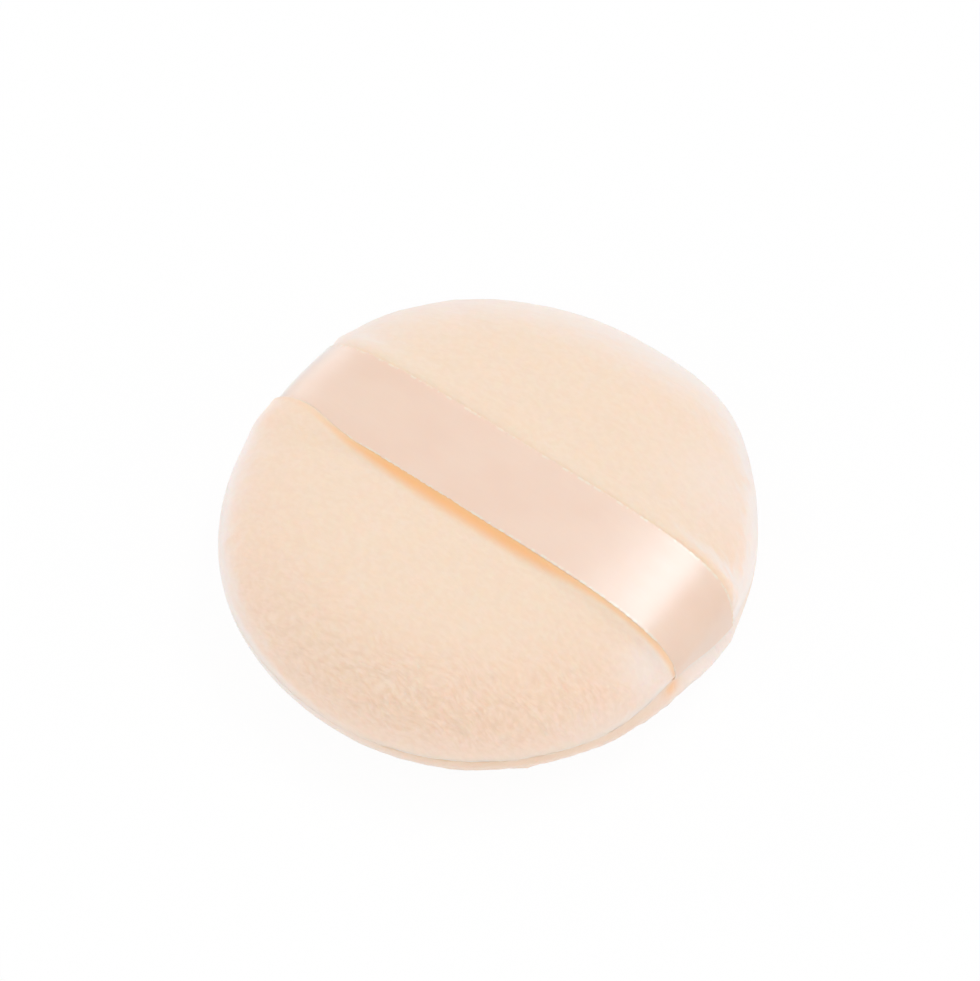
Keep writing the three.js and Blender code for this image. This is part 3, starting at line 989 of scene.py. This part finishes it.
# Steps along and across the ribbon and round a selvedge, and those that its path is worked out in
RIBBON_STEPS = 720
RIBBON_ACROSS = 24
BEAD_STEPS = 5
PATH_STEPS = 3000
FOLD_POINTS = 60

# How far the ribbon's edges wave
EDGE_WAVE = 0.07 * MM


def ribbon_path(size):
    """The ribbon's middle line in the XZ plane from one tail to the other, in even steps: a superellipse
    over the pad, a fold into the seam plane at each end and a straight tail between the plies."""
    fold = size.seam_fold + size.ribbon_standoff
    rise = size.ribbon_rise + size.ribbon_arch
    flange = flange_radius(size)
    halves = []
    for reach in (size.right_reach, size.left_reach):
        start = math.asin((fold / rise) ** (size.ribbon_power / 2))
        angle = np.linspace(start, np.pi / 2, PATH_STEPS)
        x = reach * np.maximum(np.cos(angle), 0) ** (2 / size.ribbon_power)
        z = rise * np.sin(angle) ** (2 / size.ribbon_power)
        turn_angle = np.linspace(-np.pi / 2, 0, FOLD_POINTS)[:-1]
        tail = flange * reach / size.pad_radius
        x = np.concatenate([[tail], x[0] - fold + fold * np.cos(turn_angle), x])
        z = np.concatenate([[0], fold + fold * np.sin(turn_angle), z])
        halves.append(np.stack([x, z], axis=1))
    line = np.concatenate([halves[0], (halves[1] * (-1, 1))[-2::-1]])
    run = np.concatenate([[0], np.cumsum(np.hypot(*np.diff(line, axis=0).T))])
    even = np.linspace(0, run[-1], RIBBON_STEPS + 1)
    return even, resampled(line, run, even)


def ribbon_mesh(size):
    """A thin closed band: a flat section with a beaded selvedge at both sides, carried along the ribbon's
    path. Its edges lie a little lower than its middle and wave slightly, its left tail is gathered in, and
    its right tail is drawn up with the seam. The UV map runs across and along it, in widths."""
    run, line = ribbon_path(size)
    way = unit(np.gradient(line, axis=0))
    out = np.stack([way[:, 1], -way[:, 0]], axis=1)
    half = size.ribbon_width / 2 - size.selvedge_radius
    flat = np.linspace(-half, half, RIBBON_ACROSS + 1)
    bead = np.linspace(np.pi / 3, -np.pi / 3, BEAD_STEPS)
    level = np.zeros(len(flat))
    across = np.concatenate([flat, np.full(BEAD_STEPS, half), flat[::-1], np.full(BEAD_STEPS, -half)])
    face = np.concatenate([level + size.ribbon_thickness / 2, np.zeros(BEAD_STEPS)])
    raised = np.concatenate([face, -face])
    bead_across = np.concatenate([level, np.cos(bead), level, -np.cos(bead)])
    bead_out = np.concatenate([level, np.sin(bead), level, -np.sin(bead)])
    swelling = size.selvedge_radius * (1 + 0.2 * np.cos(2 * np.pi * run / size.selvedge_pitch))[:, None]
    loose = fade(np.abs(line[:, :1]), 20 * MM, 34 * MM)
    above = 1 - fade(line[:, 1:], 1 * MM, 8 * MM)
    wave = np.sin(run / (9 * MM))[:, None] * np.sign(across) + 0.6 * np.sin(run / (5.3 * MM) + 1)[:, None]
    droop = (EDGE_WAVE * loose * wave - size.ribbon_arch * above) * (across / half) ** 2
    height = raised + bead_out * swelling + droop
    x = line[:, :1] + out[:, :1] * height
    z = line[:, 1:] + out[:, 1:] * height
    placed = np.where(across < 0, across * (1 - near_tuck(size, line[:, :1]) / half), across)
    y = placed + bead_across * swelling
    radius = np.hypot(x, y) * size.pad_radius / size.right_reach
    z = z + drawn_up(size, radius, np.arctan2(y, x), np.maximum(z, 0))
    points = np.stack(np.broadcast_arrays(x, y, size.seam_height + z), axis=-1)
    piece = carried_mesh("satin_ribbon", points, points[[0, -1]].mean(axis=1))
    widths = np.stack(np.broadcast_arrays(across + bead_across * swelling, run[:, None]), axis=-1)
    tails = np.stack([[0, 0], run[[0, -1]]], axis=1)
    add_map(piece, np.concatenate([widths.reshape(-1, 2), tails]) / size.ribbon_width)
    return piece, run[-1]


def satin_material(size, finish):
    """Polyester satin ribbon: long warp floats give a smooth face that shines in a soft bar across each
    bend, with a paler looped selvedge. A pale painted reflection is mixed into the face at an edge-on view,
    most at its left tail and less towards its right end. Floats are about 0.1 mm apart, and are drawn three
    times as coarse to show."""
    material, tree, shader = new_material(
        "satin_woven_polyester",
        {
            "Roughness": 0.45,
            "IOR": 1.85,
            "Specular IOR Level": 1.0,
            "Anisotropic": 0.6,
            "Sheen Weight": 0.35,
            "Sheen Roughness": 0.3,
            "Sheen Tint": (1.0, 0.97, 0.95, 1),
            "Subsurface Weight": 0.6,
            "Subsurface Radius": (1.0, 0.7, 0.5),
            "Subsurface Scale": 0.8 * MM,
        },
    )
    width = size.ribbon_width
    place = add_node(tree, "UVMap", uv_map=WEAVE_MAP)["UV"]
    parts = add_node(tree, "SeparateXYZ", [place])
    floats = even_noise(tree, place, (0.3 * MM / width, 6 * MM / width, 1), 2.0)
    cloud = even_noise(tree, place, (9 * MM / width, 14 * MM / width, 1), 2.0)
    loops = even_noise(tree, place, (1.0, 0.8 * size.selvedge_pitch / width, 1.0), 1.0)
    aside = add_node(tree, "Math", [parts["X"]], operation="ABSOLUTE")[0]
    bead = 0.5 - np.array((0.6, 0.2)) * MM / width
    edge = add_node(tree, "MapRange", [aside, *bead, 0.0, 1.0], **EASED)[0]
    dots = add_node(tree, "MapRange", [loops, 0.45, 0.6, 0.1, 0.8], **EASED)[0]
    edge = add_node(tree, "Math", [edge, dots], operation="MULTIPLY")[0]
    clouded = add_node(tree, "MapRange", [cloud, 0.3, 0.7, 0.0, 1.0], **EASED)[0]
    drawn = add_node(tree, "MapRange", [floats, 0.3, 0.8, 0.0, 0.25], **EASED)[0]
    # Painted reflection: pale at an edge-on view, strongest at the left tail and weakest at the right end
    painted_light_share = add_node(tree, "MapRange", [parts["Y"], 2.0, 6.0, 0.2, 1.0], **EASED)[0]
    pale = add_node(tree, "Math", [glanced(tree, 0.4, 0.9, 0.85), painted_light_share], operation="MULTIPLY")[0]
    deeper = shaded(finish.satin, (0.97, 0.94, 0.92))
    face = layered(
        tree,
        finish.satin,
        (clouded, deeper),
        (drawn, deeper),
        (pale, finish.painted_sheen),
        (edge, finish.selvedge),
    )
    gloss = add_node(tree, "MapRange", [floats, 0.2, 0.8, 0.42, 0.49], **EASED)[0]
    bump = add_node(tree, "Bump", {"Strength": 0.15, "Distance": 0.03 * MM, "Height": floats})[0]
    tangent = add_node(tree, "Tangent", direction_type="UV_MAP", uv_map=WEAVE_MAP)[0]
    drive(tree, shader, {"Base Color": face, "Roughness": gloss, "Normal": bump, "Tangent": tangent})
    return material


# The sponge

# Cells along a side of the sponge's grids, and its cut cells
SPONGE_COUNT = 120
PORE_SPACING = 1.1 * MM
PORE_DEPTH = 0.35 * MM
PORE_SEED = 41


def sponge_mesh(size, halves):
    """A closed disc of foam inside the covers, with a channel round its edge for the seam: a grid over each
    face and straight rings between. Cut cells dent it where noise of the cells' size is high."""
    inset = size.velour_thickness + size.clearance
    room = seam_room(size)
    distance, bearing = disc_grid(SPONGE_COUNT)
    rim = grid_rim(SPONGE_COUNT)
    edge_bearing = bearing.ravel()[rim]
    count = bearing.size
    level = np.full_like(edge_bearing, room)
    channel = np.full_like(edge_bearing, flange_radius(size) - size.clearance)
    points, rings = [], []
    for half in halves:
        points.append(half.stand(half.surface(distance, bearing, room, inset)).reshape(-1, 3))
        rings.append(half.stand(settle(size, channel, edge_bearing, level, half.side)))
    first = 2 * count + np.arange(len(rim))
    second = first + len(rim)
    quads = [grid_quads(SPONGE_COUNT), grid_quads(SPONGE_COUNT)[:, ::-1] + count]
    quads += [ring_quads(rim, first), ring_quads(first, second), ring_quads(second, rim + count)]
    piece = add_mesh("sponge_disc", np.concatenate(points + rings), np.concatenate(quads))
    normal = read_vectors(piece.data.vertex_normals, "vector")
    place = read_vectors(piece.data.vertices, "co")
    pores = soft_noise(place / PORE_SPACING, PORE_SEED)
    dent = 1 - fade(pores, 0.1, 0.6)
    place -= normal * (dent * PORE_DEPTH)[:, None]
    piece.data.vertices.foreach_set("co", place.astype(np.float32).ravel())
    piece.data.update()
    # How deep each point is dented; the foam's material paints shade there
    add_attribute(piece, "pore", dent)
    return piece


def foam_material(finish):
    """Open-cell polyurethane foam: matt cream, with painted shade in its cut cells, which are about 0.5 mm
    across.
    """
    material, tree, shader = new_material(
        "foam_open_cell_polyurethane", {"Roughness": 0.95, "Specular IOR Level": 0.2, "Sheen Weight": 0.1}
    )
    place = add_node(tree, "TexCoord")["Object"]
    scaled = add_node(tree, "Mapping", {"Vector": place, "Scale": [1 / (0.5 * MM)] * 3})[0]
    cells = add_node(tree, "TexVoronoi", {"Vector": scaled, "Scale": 1.0})["Distance"]
    pore = add_node(tree, "Attribute", attribute_name="pore")["Fac"]
    cut = add_node(tree, "MapRange", [cells, 0.1, 0.6, 0.5, 0.0], **EASED)[0]
    cell_shade = shaded(finish.foam, (0.8, 0.72, 0.6))
    skin = layered(tree, finish.foam, (cut, cell_shade), (pore, cell_shade))
    bump = add_node(tree, "Bump", {"Strength": 0.6, "Distance": 0.2 * MM, "Height": cells})[0]
    drive(tree, shader, {"Base Color": skin, "Normal": bump})
    return material


# The stitching

# Points round a thread, times that its corners are cut off, and the step along it
THREAD_SIDES = 10
CORNER_CUTS = 3
THREAD_STEP = 0.18 * MM


def arc_holes(size, start, end, pitch):
    """Holes of a row along the seam: their places in the seam plane and the ways out across the row."""
    radius = size.pad_radius - size.velour_thickness - size.seam_inset
    count = max(2, int((end - start) * radius / pitch) + 1)
    bearing = np.linspace(start, end, count)
    across = np.stack([np.cos(bearing), np.sin(bearing), 0 * bearing], axis=1)
    return across * radius, across


def tack_holes(size, side):
    """Holes of the stitches that hold a ribbon tail, in a row across it."""
    radius = size.pad_radius - size.velour_thickness - size.tack_inset
    run = size.ribbon_width - 2 * size.tack_margin
    count = max(2, round(run / size.tack_pitch) + 1)
    y = np.linspace(-run / 2, run / 2, count) * side
    across = np.tile((side, 0, 0), (count, 1)).astype(float)
    return across * radius + np.stack([0 * y, y, 0 * y], axis=1), across


def thread_line(size, holes, across, side, aside):
    """A thread's middle line and the way across it: through the plies at each hole, down at one and up at
    the next, with a short tail at both ends, and with its corners cut off a few times over."""
    rise = size.clearance / 2 + size.seam_ply + size.thread_radius
    level = side * (-1.0) ** np.arange(len(holes))
    heights = np.stack([level, -level], axis=1).ravel() * rise
    line = np.repeat(holes + across * aside, 2, axis=0)
    ways = np.repeat(across, 2, axis=0)
    tail = 6 * size.thread_radius
    along = np.cross((0, 0, 1), across)
    line = np.concatenate([line[:1] - along[:1] * tail, line, line[-1:] + along[-1:] * tail])
    ways = np.concatenate([ways[:1], ways, ways[-1:]])
    heights = np.concatenate([heights[:1], heights, heights[-1:]])
    radius, bearing = np.hypot(line[:, 0], line[:, 1]), np.arctan2(line[:, 1], line[:, 0])
    placed = settle(size, radius, bearing, np.abs(heights), np.sign(heights))
    placed[:, 2] = size.seam_height + placed[:, 2] * np.sign(heights)
    route = np.concatenate([placed, ways], axis=1)
    for _ in range(CORNER_CUTS):
        first, second = route[:-1], route[1:]
        cut = np.stack([first * 0.75 + second * 0.25, first * 0.25 + second * 0.75], axis=1)
        route = np.concatenate([route[:1], cut.reshape(-1, 6), route[-1:]])
    run = np.concatenate([[0], np.cumsum(np.linalg.norm(np.diff(route[:, :3], axis=0), axis=1))])
    even = np.linspace(0, run[-1], int(run[-1] / THREAD_STEP))
    route = resampled(route, run, even)
    return even, route[:, :3], route[:, 3:]


def thread_mesh(size, name, holes, across, side, aside):
    """Two-ply thread: a waisted section that turns as it is carried along the line, closed at both ends."""
    run, line, ways = thread_line(size, holes, across, side, aside)
    way = unit(np.gradient(line, axis=0))
    square = unit(np.cross(way, ways))
    level = np.cross(square, way)
    angle = np.linspace(0, 2 * np.pi, THREAD_SIDES, endpoint=False)
    radius = size.thread_radius * (0.8 + 0.2 * np.cos(2 * angle))
    turned = angle + (2 * np.pi * run / size.thread_twist)[:, None]
    section = np.stack([radius * np.cos(turned), radius * np.sin(turned)], axis=-1)
    points = line[:, None] + section[..., :1] * level[:, None] + section[..., 1:] * square[:, None]
    return carried_mesh(name, points, line[[0, -1]])


def thread_material(finish):
    """Spun polyester sewing thread: two twisted plies with a dull shine, with painted shade flecked between
    fibres.
    """
    material, tree, shader = new_material(
        "thread_spun_polyester", {"Roughness": 0.55, "Specular IOR Level": 0.4, "Sheen Weight": 0.2}
    )
    place = add_node(tree, "TexCoord")["Object"]
    fibres = even_noise(tree, place, (0.08 * MM, 0.08 * MM, 0.08 * MM), 2.0)
    bright = add_node(tree, "MapRange", [fibres, 0.3, 0.7, 0.0, 1.0], **EASED)[0]
    # Painted shade where the fibre noise is low, in the gaps between fibres
    plies = layered(tree, shaded(finish.thread, (0.85, 0.75, 0.65)), (bright, finish.thread))
    bump = add_node(tree, "Bump", {"Strength": 0.4, "Distance": 0.03 * MM, "Height": fibres})[0]
    drive(tree, shader, {"Base Color": plies, "Normal": bump})
    return material


# Operators

class PUFF_OT_velour_covers(Operator):
    """Make the upper and lower velour covers, swollen by their filling and brushed"""

    bl_idname = "puff.velour_covers"
    bl_label = "Velour covers"

    def execute(self, context):
        size = context.scene.puff_sizes
        halves = [Half(size, True), Half(size, False)]
        material = velour_material(context.scene.puff_finish)
        moves = swell_covers(size, halves)
        for half, move, name, node in zip(
            halves, moves, ("upper_velour", "lower_velour"), ("upper_cover", "lower_cover")
        ):
            piece, pile, flat = cover_mesh(half, name, move)
            raise_pile(half, piece, pile, flat)
            dress(piece, material, "velour", "pad", node)
        return {"FINISHED"}


class PUFF_OT_sponge(Operator):
    """Make the sponge disc inside the covers"""

    bl_idname = "puff.sponge"
    bl_label = "Sponge"

    def execute(self, context):
        size = context.scene.puff_sizes
        piece = sponge_mesh(size, [Half(size, True), Half(size, False)])
        dress(piece, foam_material(context.scene.puff_finish), "sponge", "pad", "foam_core")
        return {"FINISHED"}


class PUFF_OT_ribbon(Operator):
    """Make the satin ribbon, which bows up between its sewn tails"""

    bl_idname = "puff.ribbon"
    bl_label = "Ribbon"

    def execute(self, context):
        size = context.scene.puff_sizes
        piece, run = ribbon_mesh(size)
        dress(piece, satin_material(size, context.scene.puff_finish), "satin", None, "ribbon_band")
        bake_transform(piece)
        return {"FINISHED"}


class PUFF_OT_stitching(Operator):
    """Make the seam's two threads, the ribbon's holding stitches and the closing stitches"""

    bl_idname = "puff.stitching"
    bl_label = "Stitching"

    def execute(self, context):
        size = context.scene.puff_sizes
        material = thread_material(context.scene.puff_finish)
        radius = size.pad_radius - size.velour_thickness - size.seam_inset
        closing = (size.closing_length - size.stitch_length) / 2 / radius
        machine = (size.closing_length + size.stitch_length) / 2 / radius
        middle = size.closing_bearing
        seam = arc_holes(size, middle + machine, middle + 2 * math.pi - machine, size.stitch_length)
        gap = arc_holes(size, middle - closing, middle + closing, size.stitch_length)
        beside = size.thread_radius + size.clearance / 2
        for name, node, holes, side, aside in (
            ("seam_needle_thread", "needle_thread", seam, 1, beside),
            ("seam_bobbin_thread", "bobbin_thread", seam, -1, -beside),
            ("right_tail_tack", "right_ribbon_tack", tack_holes(size, 1), 1, 0),
            ("left_tail_tack", "left_ribbon_tack", tack_holes(size, -1), 1, 0),
            ("closing_stitches", "closing_thread", gap, 1, 0),
        ):
            dress(thread_mesh(size, name, *holes, side, aside), material, "thread", "pad", node)
        return {"FINISHED"}


# The stage

# Half the floor's side, and how much of it shows as plain white
FLOOR_REACH = 3.0
FLOOR_GLOW = 0.95


def seen_rays(tree, *kinds):
    """1 for the kinds of ray that see the white surround itself, and 0 for the others."""
    path = add_node(tree, "LightPath")
    seen = path[kinds[0]]
    for kind in kinds[1:]:
        seen = add_node(tree, "Math", [seen, path[kind]], operation="MAXIMUM")[0]
    return seen


def white_surround(scene):
    """A world that lights the puff evenly from all round and shows as white itself."""
    world = bpy.data.worlds.new("white_surround")
    world.use_nodes = True
    scene.world = world
    tree = world.node_tree
    seen = seen_rays(tree, "Is Camera Ray", "Is Glossy Ray", "Is Transmission Ray")
    strength = add_node(tree, "MapRange", {0: seen, 3: scene.puff_stage.surround, 4: 1.0})[0]
    background = tree.nodes["Background"]
    background.inputs["Color"].default_value = (1, 1, 1, 1)
    drive(tree, background, {"Strength": strength})


def white_floor(scene):
    """A matt white table top that shows as almost plain white and keeps the puff's shadow."""
    corners = FLOOR_REACH * np.array([(-1, -1, 0), (1, -1, 0), (1, 1, 0), (-1, 1, 0)])
    floor = add_mesh("floor", corners, np.array([[0, 1, 2, 3]]))
    matt = {"Roughness": 0.9, "Specular IOR Level": 0.1, "Base Color": (*scene.puff_finish.floor, 1)}
    material, tree, shader = new_material("floor_matt_white", matt)
    seen = seen_rays(tree, "Is Camera Ray", "Is Glossy Ray")
    shown = add_node(tree, "Math", [seen, FLOOR_GLOW], operation="MULTIPLY")[0]
    glow = add_node(tree, "Emission", {"Color": (1, 1, 1), "Strength": 1.0})[0]
    blend = add_node(tree, "MixShader", [shown, shader.outputs[0], glow])[0]
    drive(tree, tree.nodes["Material Output"], {"Surface": blend})
    floor.data.materials.append(material)


def add_lamps(scene, aim):
    """Soft lamps that light the cloth, and cards of cool daylight that only the satin's shine shows."""
    stage = scene.puff_stage
    for name, power, across, place, shine in (
        ("key_lamp", stage.key_power, 0.45, (0.12, 0.55, 1.06), False),
        ("fill_lamp", stage.fill_power, 1.0, (-0.14, -1.0, 0.6), False),
        ("left_lamp", 0.95 * stage.side_power, 0.6, (-0.95, 0.3, 0.4), False),
        ("right_lamp", 1.35 * stage.side_power, 0.7, (0.92, 0.3, 0.5), False),
        ("back_card", stage.shine_power, 0.6, (0.205, 0.55, 1.06), True),
        ("left_card", 0.32 * stage.shine_power, 0.6, (-0.95, 0.49, 0.12), True),
    ):
        lamp = bpy.data.lights.new(name, "AREA")
        lamp.energy = power
        lamp.size = across
        if shine:
            lamp.color = stage.card
        holder = bpy.data.objects.new(name, lamp)
        holder.visible_glossy = shine
        holder.visible_diffuse = not shine
        holder.location = place
        holder.rotation_euler = (aim - Vector(place)).to_track_quat("-Z", "Y").to_euler()
        scene.collection.objects.link(holder)


def add_camera(scene, aim):
    """A camera at an azimuth, elevation and distance, with the picture's middle a little above its aim."""
    stage = scene.puff_stage
    level = math.cos(stage.elevation)
    x, y = math.sin(stage.azimuth), -math.cos(stage.azimuth)
    back = Vector((x * level, y * level, math.sin(stage.elevation)))
    rotation = (-back).to_track_quat("-Z", "Y")
    picture_up = rotation @ Vector((0, 1, 0))
    camera = bpy.data.cameras.new("camera")
    camera.lens = stage.lens
    holder = bpy.data.objects.new("camera", camera)
    holder.rotation_euler = rotation.to_euler()
    holder.location = aim + picture_up * stage.aim_up + back * stage.distance
    scene.collection.objects.link(holder)
    scene.camera = holder


class PUFF_OT_stage(Operator):
    """Make the floor, the lamps and the camera"""

    bl_idname = "puff.stage"
    bl_label = "Stage"

    def execute(self, context):
        scene = context.scene
        scene.view_settings.view_transform = "Standard"
        aim = Vector((0, 0, scene.puff_sizes.seam_height))
        white_surround(scene)
        white_floor(scene)
        add_lamps(scene, aim)
        add_camera(scene, aim)
        return {"FINISHED"}


OPERATORS = (PUFF_OT_stage, PUFF_OT_velour_covers, PUFF_OT_sponge, PUFF_OT_ribbon, PUFF_OT_stitching)


class PUFF_PT_panel(Panel):
    """Lists the puff's pieces"""

    bl_idname = "PUFF_PT_panel"
    bl_label = "Powder puff"
    bl_space_type = "VIEW_3D"
    bl_region_type = "UI"
    bl_category = "Puff"

    def draw(self, context):
        for operator in OPERATORS:
            self.layout.operator(operator.bl_idname)


CLASSES = (PuffSizes, PuffFinish, PuffStage, *OPERATORS, PUFF_PT_panel)


def register():
    for cls in CLASSES:
        bpy.utils.register_class(cls)
    bpy.types.Scene.puff_sizes = PointerProperty(type=PuffSizes)
    bpy.types.Scene.puff_finish = PointerProperty(type=PuffFinish)
    bpy.types.Scene.puff_stage = PointerProperty(type=PuffStage)


def unregister():
    for name in ("puff_sizes", "puff_finish", "puff_stage"):
        delattr(bpy.types.Scene, name)
    for cls in reversed(CLASSES):
        bpy.utils.unregister_class(cls)


def main():
    register()
    bpy.ops.puff.stage()
    bpy.ops.puff.velour_covers()
    bpy.ops.puff.sponge()
    bpy.ops.puff.ribbon()
    bpy.ops.puff.stitching()


if __name__ == "__main__":
    main()
